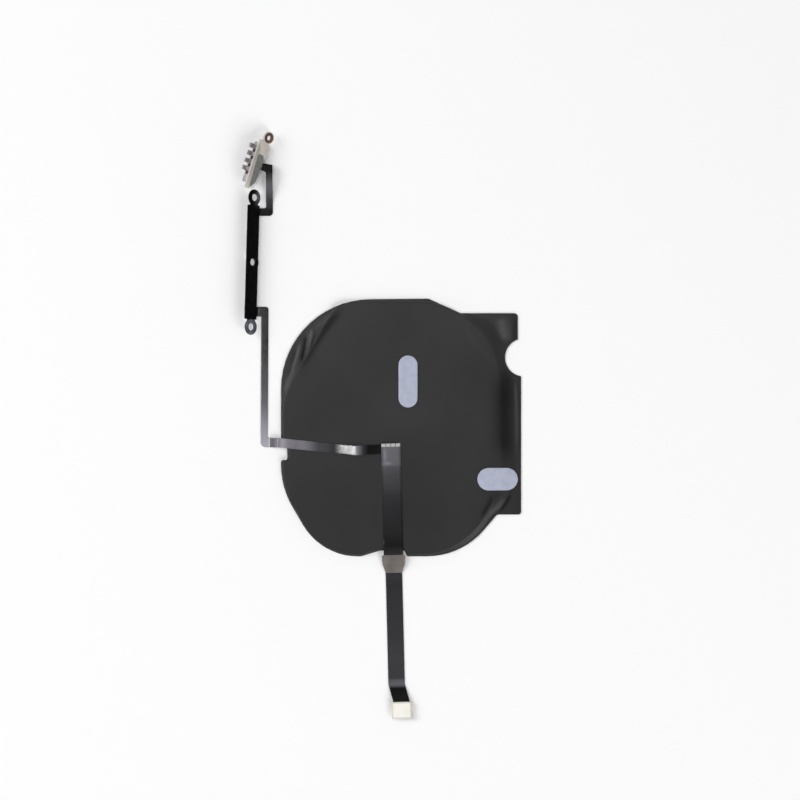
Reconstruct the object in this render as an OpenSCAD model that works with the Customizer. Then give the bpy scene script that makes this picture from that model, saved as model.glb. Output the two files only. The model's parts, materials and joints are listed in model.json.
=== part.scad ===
// Wireless charging receiver coil with a board tail, a volume-key strip and a ring/silent switch.
// The module lies flat: X and Y are in the plane of the coil, and +Z leaves the bonding face.
// The origin is the centre of the coil on the rear bonding face. All sizes are in millimetres.

/* [Coil module] */
// Outer diameter of the copper coil
coil_od = 41; // [38:0.5:41.5]
// Inner diameter of the copper coil
coil_id = 20.4; // [18:0.2:24]
// Number of turns in the coil
coil_turns = 11; // [6:1:12]
// Part of the pitch that is copper
wire_fill = 0.8; // [0.5:0.05:0.85]
// Thickness of the copper winding
coil_t = 0.24; // [0.2:0.02:0.3]
// Thickness of the magnetic shield
shield_t = 0.25; // [0.2:0.02:0.35]
// Thickness of each adhesive, base and graphite layer
layer_t = 0.05; // [0.04:0.01:0.06]
// Thickness of the black cover film
film_t = 0.06; // [0.04:0.01:0.08]
// Thickness of the foam pads on the cover film
pad_t = 0.3; // [0.1:0.05:0.5]

/* [Module outline] */
// Left edge of the cover film
film_left = -23; // [-23.4:0.1:-22.8]
// Right edge of the cover film's flap
film_right = 25; // [24.6:0.1:25.4]
// Top edge of the cover film
film_top = 25.6; // [25.2:0.1:26]
// Bottom edge of the cover film
film_bottom = -25.65; // [-26:0.05:-25.4]
// Top edge of the flap
flap_top = 22.95; // [22:0.05:23.4]
// Bottom edge of the flap
flap_bottom = -17.3; // [-18:0.1:-16.5]
// Radius of the round notch in the flap
notch_r = 3.8; // [3:0.1:4.2]
// Margin between the film's edge and the layers below it
layer_inset = 0.6; // [0.5:0.1:0.8]
// Right edge of the layers below the film
stack_right = 20.9; // [20.8:0.1:21.6]

/* [Flexible circuits] */
// Thickness of the flexible circuit
flex_t = 0.13; // [0.1:0.01:0.16]
// Width of the tail where it is bonded to the module
root_w = 3.9; // [3.5:0.1:4.2]
// Width of the free part of the tail
tail_w = 3.3; // [2.8:0.1:3.4]
// Length of the tail, from its terminal pads to the far edge of its connector
tail_len = 55; // [54:0.5:58]
// Width of the branch to the side arm
branch_w = 1.9; // [1.5:0.1:2]
// Width of the side arm
arm_w = 1.45; // [1.2:0.05:1.5]
// Width of the loop between the volume strip and the switch
loop_w = 1.35; // [1.2:0.05:1.45]

/* [Volume strip] */
// Distance between neighbouring screw eyes
eye_pitch = 12.9; // [12.6:0.1:13.2]
// Radius of each screw eye's hole
eye_hole_r = 0.72; // [0.55:0.01:0.8]
// Width of the strip
strip_w = 3.2; // [3:0.1:3.4]
// Thickness of the strip's steel bracket
bracket_t = 0.25; // [0.2:0.05:0.3]
// Tilt of the strip out of the plane of the coil
strip_tilt = 47; // [40:1:50]
// Distance of each key switch from the middle screw eye
key_offset = 6.5; // [5.5:0.1:7]
// Travel of each key
key_travel = 0.2; // [0.1:0.05:0.2]

/* [Ring/silent switch] */
// Length of the switch housing
switch_len = 8; // [7.6:0.1:8.4]
// Travel of the slider
slider_travel = 1.6; // [1:0.1:1.7]
// Tilt of the switch out of the plane of the coil
switch_tilt = 42; // [38:1:46]
// Radius of the hole in the switch's eyelet
eyelet_hole_r = 0.5; // [0.4:0.05:0.55]

/* [Hidden] */
$fn = 64;
cut = 1; // how far a cutter runs past a face
run_gap = 0.02; // clearance of a sliding contact

// Heights of the layers of the coil module
base_z = layer_t;
coil_z = 2 * layer_t;
coil_top = coil_z + coil_t;
shield_z = coil_top + layer_t;
graphite_z = shield_z + shield_t;
film_z = graphite_z + layer_t;
film_top_z = film_z + film_t;
tape_t = 0.04;
root_z = film_top_z + tape_t;
fold_z = root_z + flex_t / 2;

// Placing of the tail: its local -Y runs down the tail
tail_top = [-1.05, -3.05];
tail_lean = 1.4;
tail_fold = 21.9; // distance from the terminal pads to the fold
fold_gap = flex_t / 2 + run_gap;
window = [3.2, 0.8]; // opening through the layers for the coil's leads

// Placing of the branch and the arm
branch_fold_x = -23.75;
branch_y = [-4.2, -4.5, -2.9]; // centre of the branch at the tail, at its hump and at its fold
branch_x = [-2.9, -8, branch_fold_x];
arm_x = -27.1;
arm_top = 24.2;
arm_low = -3.85;

// Placing of the volume strip: its local x runs from 0 at the fold to -strip_w
strip_edge = [-27.41, 33.05, 0.32];
strip_lean = 1.6;
strip_fold = 0.06; // distance of the fold's axis outside the strip's edge
strip_len = 22.8;
eye_r = strip_w / 2;
strip_margin = 0.15; // the bracket's straight sides stand back from its eyes
strip_flex_z = -bracket_t - tape_t - flex_t;
key_w = 1.8;
key_len = 3.2;
key_x = -strip_w / 2;
base_t = 0.2;
cover_t = 0.38;
dome_h = key_travel + 0.04;

// Placing of the switch: its local x runs from 0 at the loop to -switch_w
switch_at = [-26.9, 52, 1.38];
switch_lean = 18;
switch_w = 2.3;
plate_t = 0.3;
housing_x = [-2.15, -0.55];
housing_y = [-3.6, -3.6 + switch_len];
housing_t = 1.15;
cavity_x = [-1.98, -0.72];
cavity_y = [-2.6, 2.6];
cavity_floor = 0.35;
sheet_t = 0.15;
slider_x = -1.35;
slider_y = -0.9; // place of the slider at rest
nub = [0.9, 1.6]; // width and length of the slider's nub

// Placing of the loop between the strip and the switch
loop_x = -24.62; // right edge of the loop
loop_y = [42.4, 52.5]; // lower and upper edge of the loop
loop_foot = 1.55; // width of the loop where it meets the strip

// ---- Shapes ----

function unit(v) = v / norm(v);
function near_turn(a) = a > 180 ? a - 360 : a < -180 ? a + 360 : a;

// Points of a rounded corner at b, between its neighbours a and c
function corner(a, b, c, r) =
    let (u = unit(a - b), v = unit(c - b), half = acos(u * v) / 2,
         mid = b + unit(u + v) * r / sin(half), reach = r / tan(half),
         p = b + u * reach - mid, q = b + v * reach - mid,
         from = atan2(p.y, p.x), turn = near_turn(atan2(q.y, q.x) - from),
         n = max(2, ceil(abs(turn) / 6)))
    r == 0 ? [b] : [for (i = [0:n]) mid + r * [cos(from + turn * i / n), sin(from + turn * i / n)]];

// Outline through corners given as [x, y, radius]
function rounded(p) = [for (i = [0:len(p) - 1])
    let (n = len(p), a = p[(i + n - 1) % n], b = p[i], c = p[(i + 1) % n])
    each corner([a.x, a.y], [b.x, b.y], [c.x, c.y], b.z)];

// Smooth rise from height z0 to z1 between the places a and b
function rise(a, b, z0, z1, n = 10) =
    [for (i = [0:n]) [a + (b - a) * i / n, z0 + (z1 - z0) * (1 - cos(180 * i / n)) / 2]];

// Fall from height z0 to z1 that starts level at a and is steepest at b
function drop(a, b, z0, z1, n = 12) = [for (i = [0:n]) [a + (b - a) * i / n, z0 + (z1 - z0) * pow(i / n, 2)]];

function backwards(p) = [for (i = [len(p) - 1:-1:0]) p[i]];

// Closed band of thickness t around a middle line
function band(line, t) = concat([for (p = line) p + [0, t / 2]], [for (p = backwards(line)) p - [0, t / 2]]);

module slab(outline, z, t) translate([0, 0, z]) linear_extrude(t) polygon(outline);
module box(low, high) translate(low) cube(high - low);
module disc(r, z, t) translate([0, 0, z]) cylinder(r = r, h = t);
module along_x(profile, y0, y1)
    translate([0, y1, 0]) rotate([90, 0, 0]) linear_extrude(y1 - y0) polygon(profile);
module along_y(profile, x0, x1)
    translate([x0, 0, 0]) rotate([90, 0, 90]) linear_extrude(x1 - x0) polygon(profile);
module pill(at, length, width, angle, z, t) translate([at.x, at.y, z]) rotate([0, 0, angle]) {
    box([width / 2 - length / 2, -width / 2, 0], [length / 2 - width / 2, width / 2, t]);
    for (side = [-1, 1]) translate([side * (length - width) / 2, 0, 0]) cylinder(d = width, h = t);
}

module on_tail() translate(tail_top) rotate([0, 0, tail_lean]) children();
module on_strip() translate(strip_edge) rotate([0, 0, -strip_lean]) rotate([0, strip_tilt, 0]) children();
module on_fold() translate([strip_edge.x, strip_edge.y, flex_t / 2]) rotate([0, 0, -strip_lean])
    translate([strip_fold, 0, 0]) children();
module fold_bead(y0, y1)
    on_fold() translate([0, y0, 0]) rotate([-90, 0, 0]) cylinder(d = flex_t, h = y1 - y0);
module on_switch() translate(switch_at) rotate([0, 0, -switch_lean]) rotate([0, switch_tilt, 0]) children();

// Place along X of the fold's axis and of the switch plate's edge at the place y
function fold_x(y) = strip_edge.x + strip_fold + (y - strip_edge.y) * tan(strip_lean);
function plate_x(y) = switch_at.x + (y - switch_at.y) * tan(switch_lean);

// ---- Coil module ----

// Outline of the stack of layers, a margin m inside the cover film where the film lies close round it.
// Its cut corner at the upper left and its round right side leave room that the film drapes over.
function stack_outline(m) = rounded([
    [film_left + m, 5.7, 8],
    [-11.5, film_top - m, 3],
    [stack_right + layer_inset - m, film_top + 0.1 - m, 17],
    [stack_right + layer_inset - m, -11.5, 14],
    [13.1, film_bottom + m, 15 - m],
    [2.2, film_bottom + m, 0.4],
    [1.7, -24.4 + m, 0.4],
    [-3.2, -24.5 + m, 0.6],
    [-7, film_bottom + m, 1],
    [-14.9, film_bottom + m, 12.5 - m],
    [film_left + m, -11.9, 17],
    [film_left + m, -6.5, 0.3],
    [-21.75 + m, -6.3, 0.3],
    [-21.75 + m, -3.6, 0.3],
    [film_left + m, -3.5, 0]
]);

// Outline of the cover film with its flap on the right
film_outline = rounded([
    [film_left, film_top, 18],
    [6.5, film_top + 0.25, 1],
    [12.9, flap_top, 1],
    [24.35, flap_top, 0.7],
    [24.35, 14.1, 0],
    [film_right, 14.1, 0],
    [film_right, flap_bottom, 0.6],
    [20.2, flap_bottom, 0.9],
    [13.1, film_bottom, 15],
    [2.2, film_bottom, 0.4],
    [1.7, -24.4, 0.4],
    [-3.2, -24.5, 0.6],
    [-7, film_bottom, 1],
    [-14.9, film_bottom, 12.5],
    [film_left, -11.9, 17],
    [film_left, -6.4, 0.5],
    [-21.75, -6.4, 0.3],
    [-21.75, -3.4, 0.3],
    [film_left, -3.4, 0.3]
]);
layer_outline = stack_outline(layer_inset);

module notch() translate([25.6, 14.1, -cut]) cylinder(r = notch_r, h = 3 * cut);
module lead_window() on_tail() box([-window.x / 2, -window.y, -cut], [window.x / 2, 0, 2 * cut]);
module lead_slot() box([-1.95, -21.5, -cut], [-0.95, -3.4, 2 * cut]);

module rear_adhesive() color("gainsboro") slab(stack_outline(2 * layer_inset), 0, layer_t);

module coil_base_film() color("saddlebrown") difference() {
    slab(film_outline, base_z, layer_t);
    notch();
}

pitch = (coil_od - coil_id) / 2 / (coil_turns + wire_fill);
wire_w = pitch * wire_fill;
coil_start = -95;
function spiral(extra) = [for (a = [0:10:360 * coil_turns]) let (r = coil_id / 2 + pitch * a / 360 + extra)
    r * [cos(coil_start + a), sin(coil_start + a)]];

module charging_coil() color("peru") slab(concat(spiral(wire_w), backwards(spiral(0))), coil_z, coil_t);

module coil_inner_lead() color("peru") {
    x = coil_id / 2 * cos(coil_start) - run_gap;
    box([x - 0.6, -coil_id / 2 - wire_w, coil_z], [x, -5, coil_top]);
    box([x - 0.6, -5.6, coil_z], [0.4, -5, coil_top]);
    box([-0.2, -5, coil_z], [0.4, -3.2, coil_top]);
}

module coil_outer_lead() color("peru") {
    r = coil_id / 2 + pitch * coil_turns;
    x = r * cos(coil_start) + run_gap;
    box([x, -r - wire_w, coil_z], [x + 0.6, -r, coil_top + 0.22]);
    box([x, -r, coil_top + run_gap], [x + 0.6, -3.2, coil_top + 0.22]);
}

module shield_adhesive() color("white") difference() {
    slab(layer_outline, coil_top, layer_t);
    lead_window();
    lead_slot();
}

module ferrite_shield() color("dimgray") difference() {
    slab(layer_outline, shield_z, shield_t);
    lead_window();
    lead_slot();
}

module graphite_sheet() color("darkslategray") difference() {
    slab(layer_outline, graphite_z, layer_t);
    lead_window();
}

// The film lies on the round stack and steps down to the base film at its flap and rim
module cover_film() color([0.2, 0.2, 0.21]) difference() {
    union() {
        slab(film_outline, coil_z, film_t);
        slab(stack_outline(layer_inset - film_t), coil_z, film_top_z - coil_z);
    }
    slab(layer_outline, coil_z - cut, film_z - coil_z + cut);
    notch();
    lead_window();
}

module centre_foam_pad() color("lightsteelblue") pill([2.4, 9.3], 10.4, 3.8, 90, film_top_z, pad_t);
module edge_foam_pad() color("lightsteelblue") pill([20.3, -10.2], 8.1, 4.5, 0, film_top_z, pad_t);

module solder_joints() color("silver") {
    box([-0.15, -3.7, coil_top], [0.35, -3.25, root_z]);
    box([-1.75, -3.7, coil_top + 0.22], [-1.25, -3.25, root_z]);
}

module root_bond_tape() color("ivory") on_tail() difference() {
    box([-root_w / 2 + 0.2, -tail_fold + 0.8, film_top_z], [root_w / 2 - 0.2, 0, root_z]);
    box([-window.x / 2, -window.y, film_top_z - cut], [window.x / 2, cut, root_z + cut]);
}

module main_flex_root() color([0.25, 0.24, 0.28]) on_tail()
    box([-root_w / 2, -tail_fold + fold_gap, root_z], [root_w / 2, 0, root_z + flex_t]);

module terminal_pads() color("silver") on_tail() for (i = [0:3])
    translate([-1.85 + 0.96 * i, -0.68, root_z + flex_t]) cube([0.82, 0.64, 0.06]);

// Middle line of the branch: a hump beside the tail, then flat to the fold
hump_h = 0.5;
branch_line = concat(
    [[branch_x[0], fold_z]],
    rise(-3.6, -7.2, fold_z, fold_z + hump_h),
    drop(-7.5, -10.4, fold_z + hump_h, fold_z),
    [[branch_fold_x + fold_gap, fold_z]]
);

module branch_plan(width, x_end) {
    outline = [
        [branch_x[0], branch_y[0] + width / 2], [branch_x[1], branch_y[1] + width / 2],
        [x_end, branch_y[2] + width / 2], [x_end, branch_y[2] - width / 2],
        [branch_x[1], branch_y[1] - width / 2], [branch_x[0], branch_y[0] - width / 2]
    ];
    slab(outline, 0, 3);
}

module branch_bond_tape() color("ivory") intersection() {
    branch_plan(branch_w - 0.3, branch_fold_x);
    box([film_left + 0.8, -8, film_top_z], [-15, 0, root_z]);
}

module branch_flex_root() color([0.35, 0.34, 0.38]) intersection() {
    branch_plan(branch_w, branch_fold_x);
    along_x(band(branch_line, flex_t), -8, 0);
    box([branch_fold_x + fold_gap, -8, 0], [-3.05, 0, 3]);
}

// ---- Tail ----

plug_z = 0.6; // height of the circuit above the table at the connector
plug_at = [0.88, -tail_len + 1.65];
tail_line = concat(
    rise(-tail_fold, -26.5, fold_z, flex_t / 2),
    rise(-47.6, -tail_len + 3.6, flex_t / 2, plug_z + flex_t / 2),
    [[-tail_len + 0.1, plug_z + flex_t / 2]]
);

module main_flex_tail() color([0.22, 0.22, 0.25]) on_tail() {
    jog = plug_at.x;
    half = tail_w / 2;
    end_half = 1.85; // half the width of the end that the connector sits on
    neck = -48.2; // where the sideways step starts
    outline = rounded([
        [-half, -tail_fold, 0], [half, -tail_fold, 0], [half, neck, 0.6],
        [jog + half, -tail_len + 3.4, 0.2], [jog + end_half, -tail_len + 3.3, 0],
        [jog + end_half, -tail_len + 0.1, 0.2], [jog - end_half, -tail_len + 0.1, 0.2],
        [jog - end_half, -tail_len + 3.3, 0], [jog - half, -tail_len + 3.4, 0.2], [-half, neck, 0.6]
    ]);
    intersection() {
        slab(outline, 0, 3);
        along_y(band(tail_line, flex_t), -5, 5);
    }
    translate([-tail_w / 2, -tail_fold, fold_z]) rotate([0, 90, 0]) cylinder(d = flex_t, h = tail_w);
}

module tail_reinforcement() color([0.45, 0.41, 0.39]) on_tail() {
    patch_t = 0.06;
    outline = rounded([
        [-2.35, -22.3, 0.3], [2.35, -22.3, 0.3], [2.2, -24.2, 1], [tail_w / 2, -25.9, 0.5],
        [-tail_w / 2, -25.9, 0.5], [-2.2, -24.2, 1]
    ]);
    lift = (flex_t + patch_t) / 2;
    intersection() {
        slab(outline, 0, 3);
        along_y(band([for (p = rise(-tail_fold, -26.5, fold_z, flex_t / 2)) p + [0, lift]], patch_t), -5, 5);
    }
}

module at_plug() on_tail() translate(plug_at) children();

// Outline of a rectangle with rounded corners, from half its width and height
function brick(x, y, r) = rounded([[-x, -y, r], [x, -y, r], [x, y, r], [-x, y, r]]);

module connector_stiffener() color("blanchedalmond") at_plug()
    slab(brick(2, 1.7, 0.2), plug_z + flex_t, 0.2);

module connector_housing() color([0.12, 0.12, 0.13]) at_plug() difference() {
    slab(brick(1.75, 1.1, 0.15), 0, plug_z);
    box([-1.3, -0.45, -cut], [1.3, 0.45, 0.35]);
}

module connector_contacts() color("gold") at_plug() for (i = [-3:3], side = [-1, 1])
    translate([0.4 * i - 0.09, side * 1.175 - 0.075, 0.1]) cube([0.18, 0.15, plug_z - 0.1]);

module connector_anchors() color("gold") at_plug() for (side = [-1, 1])
    translate([side * 1.83 - 0.08, -0.6, 0.05]) cube([0.16, 1.2, plug_z - 0.05]);

// ---- Side arm ----

module branch_flex_arm() color([0.35, 0.34, 0.38]) {
    arm_right = arm_x + arm_w;
    lean = 0.15; // how much further right the arm is at its top
    join_low = arm_top - branch_w;
    ramp_x = -25.2; // where the arm starts to rise to the module
    slab(rounded([
        [ramp_x, arm_low, 0], [arm_x, arm_low, 1], [arm_x + lean, join_low, 0.3],
        [fold_x(join_low) + fold_gap, join_low, 0], [fold_x(arm_top) + fold_gap, arm_top, 0],
        [arm_right + lean, arm_top, 0.5], [arm_right, arm_low + branch_w, 0.3],
        [ramp_x, arm_low + branch_w, 0]
    ]), 0, flex_t);
    ramp = rise(ramp_x - 0.1, branch_fold_x, flex_t / 2, fold_z);
    along_x(band(ramp, flex_t), arm_low, arm_low + branch_w);
    translate([branch_fold_x, arm_low, fold_z]) rotate([-90, 0, 0]) cylinder(d = flex_t, h = branch_w);
}

// ---- Volume strip ----

eye_places = [-eye_pitch, 0, eye_pitch];

module volume_bracket() color([0.1, 0.1, 0.1]) on_strip() difference() {
    half = strip_len / 2;
    neck = [1, 0.8]; // half the width and the length of the neck between the strip and an end eye
    union() {
        box([-strip_w + strip_margin, -half, -bracket_t], [-strip_margin, half, 0]);
        for (y = eye_places) translate([key_x, y, -bracket_t]) cylinder(r = eye_r, h = bracket_t);
        for (y = [-half, half])
            box([key_x - neck.x, y - neck.y, -bracket_t], [key_x + neck.x, y + neck.y, 0]);
    }
    for (y = eye_places) translate([key_x, y, -cut]) cylinder(r = eye_hole_r, h = 2 * cut);
}

module bracket_tape() color("ivory") on_strip() difference() {
    box([-strip_w + 0.3, -strip_len / 2 + 0.2, -bracket_t - tape_t], [-0.3, strip_len / 2 - 0.2, -bracket_t]);
    translate([key_x, 0, -cut]) cylinder(r = eye_hole_r, h = 2 * cut);
}

// The circuit bends from the strip to the fold's axis where the arm and the loop join it
arm_joins = [arm_top - branch_w, arm_top] - [strip_edge.y, strip_edge.y];
loop_joins = [loop_y[0], loop_y[0] + loop_foot] - [strip_edge.y, strip_edge.y];
module fold_web(y, short) {
    reach = [strip_fold, flex_t / 2 - strip_edge.z];
    turned = [[cos(strip_tilt), -sin(strip_tilt)], [sin(strip_tilt), cos(strip_tilt)]];
    tip = turned * reach;
    start = [-0.12, strip_flex_z + flex_t / 2];
    stop = tip - short * unit(tip - start);
    along_x(band([start, stop], flex_t), y[0], y[1]);
}

module volume_flex() color([0.13, 0.13, 0.14]) {
    on_strip() difference() {
        translate([-strip_w + 0.05, 0.1 - strip_len / 2, strip_flex_z])
            cube([strip_w - 0.15, strip_len - 0.2, flex_t]);
        translate([key_x, 0, -cut]) cylinder(r = eye_hole_r, h = 2 * cut);
    }
    on_strip() fold_web(arm_joins, 0);
    on_strip() fold_web(loop_joins, fold_gap);
    fold_bead(arm_joins[0], arm_joins[1]);
}

module strip_chips() color("saddlebrown") on_strip() for (y = [-2.6, 2.4, 3.4])
    translate([key_x - 0.5, y - 0.25, strip_flex_z - 0.3]) cube([1, 0.5, 0.3]);

// Each key switch is built on the hidden face of the strip, with its parts stacked outwards
module on_key(side)
    on_strip() translate([key_x, side * key_offset, strip_flex_z]) rotate([180, 0, 0]) children();

module key_base() {
    box([-key_w / 2, -key_len / 2, 0], [key_w / 2, key_len / 2, base_t]);
    foot = 0.3; // length of the soldered foot at each end
    for (y = [-key_len / 2 - foot, key_len / 2]) box([-0.3, y, 0], [0.3, y + foot, 0.12]);
}

module key_dome() {
    dome_r = 0.72;
    ball_r = (dome_r * dome_r + dome_h * dome_h) / (2 * dome_h);
    intersection() {
        difference() {
            translate([0, 0, base_t + dome_h - ball_r]) sphere(r = ball_r);
            translate([0, 0, base_t + dome_h - ball_r]) sphere(r = ball_r - 0.05);
        }
        disc(dome_r, base_t, dome_h + cut);
    }
}

module key_cover() difference() {
    box([-key_w / 2, -key_len / 2, base_t], [key_w / 2, key_len / 2, base_t + cover_t]);
    disc(0.8, base_t - cut, cut + cover_t - 0.06);
    disc(0.52, base_t, cut);
}

module key_actuator() {
    disc(0.7, base_t + dome_h, 0.06);
    disc(0.45, base_t + dome_h, 0.5);
}

module volume_up_base() color("dimgray") on_key(1) key_base();
module volume_up_dome() color("silver") on_key(1) key_dome();
module volume_up_cover() color("gray") on_key(1) key_cover();
module volume_up_actuator() color([0.1, 0.1, 0.1]) on_key(1) key_actuator();
module volume_down_base() color("dimgray") on_key(-1) key_base();
module volume_down_dome() color("silver") on_key(-1) key_dome();
module volume_down_cover() color("gray") on_key(-1) key_cover();
module volume_down_actuator() color([0.1, 0.1, 0.1]) on_key(-1) key_actuator();

// ---- Ring/silent switch ----

loop_line = concat(
    [[loop_y[0] - 1, flex_t / 2]],
    rise(loop_y[0] + 1.5, loop_y[1] - 1.6, flex_t / 2, switch_at.z),
    [[loop_y[1] + 1, switch_at.z]]
);

module loop_flex() color([0.13, 0.13, 0.14]) {
    turn_in = loop_y[1] + 0.3; // upper edge of the loop where it meets the switch's plate
    turn_w = 1.3; // width of the loop there
    foot_top = loop_y[0] + loop_foot;
    intersection() {
        slab(rounded([
            [fold_x(loop_y[0]), loop_y[0], 0], [loop_x, loop_y[0], 0.8], [loop_x, loop_y[1], 0.3],
            [plate_x(turn_in) + 0.05, turn_in, 0], [plate_x(turn_in - turn_w) + 0.05, turn_in - turn_w, 0],
            [loop_x - loop_w, turn_in - turn_w - 0.5, 0.4], [loop_x - loop_w, foot_top, 0.3],
            [fold_x(foot_top), foot_top, 0]
        ]), 0, 4);
        along_y(band(loop_line, flex_t), -30, -20);
    }
    fold_bead(loop_joins[0], loop_joins[1]);
}

ear_at = [-0.36, 6];
eyelet_r = 0.8; // radius of the eyelet's shank

module switch_bracket() color("wheat") on_switch() difference() {
    union() {
        slab(rounded([
            [-switch_w, -4.8, 0.3], [-1.3, -4.8, 0.3], [-0.3, -3.4, 0.3], [0, -2, 0.3], [0, 1.6, 0.2],
            [0.65, 2.1, 0.25], [0.4, 4.6, 0.4], [-0.9, 5.5, 0.3], [-switch_w, 5.1, 0.4]
        ]), -plate_t, plate_t);
        translate([ear_at.x, ear_at.y, -plate_t]) cylinder(r = 1.2, h = plate_t);
        box([-1.1, 4.2, -plate_t], [0.1, ear_at.y, 0]);
    }
    translate([ear_at.x, ear_at.y, -cut]) cylinder(r = eyelet_r, h = 2 * cut);
}

module switch_eyelet() color("chocolate") on_switch() translate([ear_at.x, ear_at.y, 0]) difference() {
    union() {
        disc(eyelet_r, -plate_t, plate_t);
        disc(1.05, 0, 0.08);
    }
    disc(eyelet_hole_r, -cut, 2 * cut);
}

module switch_stiffener() color("dimgray") on_switch()
    slab(rounded([
        [-1.25, -4.65, 0.15], [-0.35, -3.35, 0.3], [-0.05, -2, 0.3], [-0.05, 1.5, 0.2], [-0.4, 2.3, 0.3],
        [-1.65, 2.3, 0.3]
    ]), 0, 0.12);

// Depths below are measured from the back of the plate, away from its visible face
module in_switch() on_switch() translate([0, 0, -plate_t]) mirror([0, 0, 1]) children();

terminal_y = [-1.8, 0, 1.8];
module terminal_legs() for (y = terminal_y) box([-1.45, y - 0.2, 0], [-1.15, y + 0.2, cavity_floor]);

module switch_housing() color([0.2, 0.2, 0.2]) in_switch() difference() {
    box([housing_x[0], housing_y[0], 0], [housing_x[1], housing_y[1], housing_t]);
    box([cavity_x[0], cavity_y[0], cavity_floor], [cavity_x[1], cavity_y[1], housing_t + cut]);
    terminal_legs();
}

module switch_terminals() color("gold") in_switch() {
    terminal_legs();
    for (y = terminal_y) box([-1.6, y - 0.7, cavity_floor], [-1, y + 0.7, cavity_floor + 0.1]);
}

// A drawn sheet over the housing, with openings in its long sides and lugs along its outer edge
module switch_cover() color("silver") in_switch() {
    low = [housing_x[0] - sheet_t, housing_y[0] - sheet_t, 0];
    high = [housing_x[1] + sheet_t, housing_y[1] + sheet_t, housing_t + sheet_t];
    lug = [1, 0.9]; // how far a lug stands out, and its width
    lug_pitch = 1.54;
    first_lug = -1.1;
    difference() {
        union() {
            box(low, high);
            for (i = [0:3])
                translate([low.x - lug.x, first_lug + i * lug_pitch - lug.y / 2, housing_t])
                    cube([lug.x + cut / 2, lug.y, sheet_t]);
        }
        box([housing_x[0], housing_y[0], -cut], [housing_x[1], housing_y[1], housing_t]);
        slot_half = (nub.y + slider_travel) / 2 + 0.1;
        translate([slider_x, slider_y + slider_travel / 2, 0])
            linear_extrude(housing_t + cut) square([nub.x + 0.16, 2 * slot_half], center = true);
        for (i = [0:3], x = [low.x, housing_x[1]])
            translate([x - cut / 4, first_lug + (i - 0.5) * lug_pitch - 0.35, 0.15])
                cube([sheet_t + cut / 2, 0.7, 0.85]);
    }
}

module detent_spring() color("silver") in_switch() {
    box([-0.78, -2.4, 0.55], [cavity_x[1], 2.4, 1]);
    translate([-0.78, 0, 0.55]) cylinder(r = 0.08, h = 0.45);
}

module switch_slider() color([0.75, 0.73, 0.7]) in_switch() {
    box([-1.8, slider_y - 1.3, 0.65], [-0.9, slider_y + 1.3, 1.05]);
    translate([slider_x, slider_y, 0]) box([-nub.x / 2, -nub.y / 2, 1.05], [nub.x / 2, nub.y / 2, 2.3]);
}

module slider_wiper() color("gold") in_switch() {
    box([-1.6, slider_y - 1.2, 0.57], [-1, slider_y + 1.2, 0.65]);
    for (side = [-0.9, 0.9])
        translate([-1.5, slider_y + side - 0.1, cavity_floor + 0.1 + run_gap]) cube([0.4, 0.2, 0.57 - 0.47]);
}

rear_adhesive();
coil_base_film();
charging_coil();
coil_inner_lead();
coil_outer_lead();
shield_adhesive();
ferrite_shield();
graphite_sheet();
cover_film();
centre_foam_pad();
edge_foam_pad();
solder_joints();
root_bond_tape();
main_flex_root();
terminal_pads();
branch_bond_tape();
branch_flex_root();
main_flex_tail();
tail_reinforcement();
connector_stiffener();
connector_housing();
connector_contacts();
connector_anchors();
branch_flex_arm();
volume_bracket();
bracket_tape();
volume_flex();
strip_chips();
volume_up_base();
volume_up_dome();
volume_up_cover();
volume_up_actuator();
volume_down_base();
volume_down_dome();
volume_down_cover();
volume_down_actuator();
loop_flex();
switch_bracket();
switch_eyelet();
switch_stiffener();
switch_housing();
switch_terminals();
switch_cover();
detent_spring();
switch_slider();
slider_wiper();
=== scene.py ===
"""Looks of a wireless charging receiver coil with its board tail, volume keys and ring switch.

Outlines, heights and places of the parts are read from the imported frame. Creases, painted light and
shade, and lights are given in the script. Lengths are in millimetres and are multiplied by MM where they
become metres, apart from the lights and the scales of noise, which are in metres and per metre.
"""

import json
import math

import bpy
import numpy as np
from mathutils import Matrix, Vector, noise
from mathutils.geometry import delaunay_2d_cdt


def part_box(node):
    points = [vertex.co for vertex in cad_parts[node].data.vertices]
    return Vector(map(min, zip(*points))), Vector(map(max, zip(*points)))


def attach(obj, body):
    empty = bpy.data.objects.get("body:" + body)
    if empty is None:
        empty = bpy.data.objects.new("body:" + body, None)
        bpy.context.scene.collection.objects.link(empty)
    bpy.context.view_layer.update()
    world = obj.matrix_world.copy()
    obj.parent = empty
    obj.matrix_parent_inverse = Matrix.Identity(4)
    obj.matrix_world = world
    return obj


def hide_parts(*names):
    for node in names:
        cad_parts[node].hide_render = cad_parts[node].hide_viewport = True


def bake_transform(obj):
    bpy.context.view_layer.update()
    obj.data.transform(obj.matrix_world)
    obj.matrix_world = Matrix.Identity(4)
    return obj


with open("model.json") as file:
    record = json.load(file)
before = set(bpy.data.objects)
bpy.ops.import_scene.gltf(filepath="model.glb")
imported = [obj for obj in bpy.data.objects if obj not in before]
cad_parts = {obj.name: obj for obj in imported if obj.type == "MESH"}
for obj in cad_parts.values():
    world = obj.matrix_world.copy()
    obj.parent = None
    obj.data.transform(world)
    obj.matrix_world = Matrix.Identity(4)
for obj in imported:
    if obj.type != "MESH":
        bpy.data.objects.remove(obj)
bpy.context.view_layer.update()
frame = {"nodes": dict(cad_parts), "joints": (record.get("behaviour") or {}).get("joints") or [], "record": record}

MM = 0.001
FLEX_T = 0.13            # thickness of a flexible circuit
FILM_T = 0.06            # thickness of the cover film
PATCH_T = 0.05           # thickness of the tail's reinforcing film
JOINTS = {joint["name"]: joint for joint in frame["joints"]}
MOUNTS = {mount["name"]: mount for mount in frame["record"]["mounts"]}


# ---- Camera, light and floor ----

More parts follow.
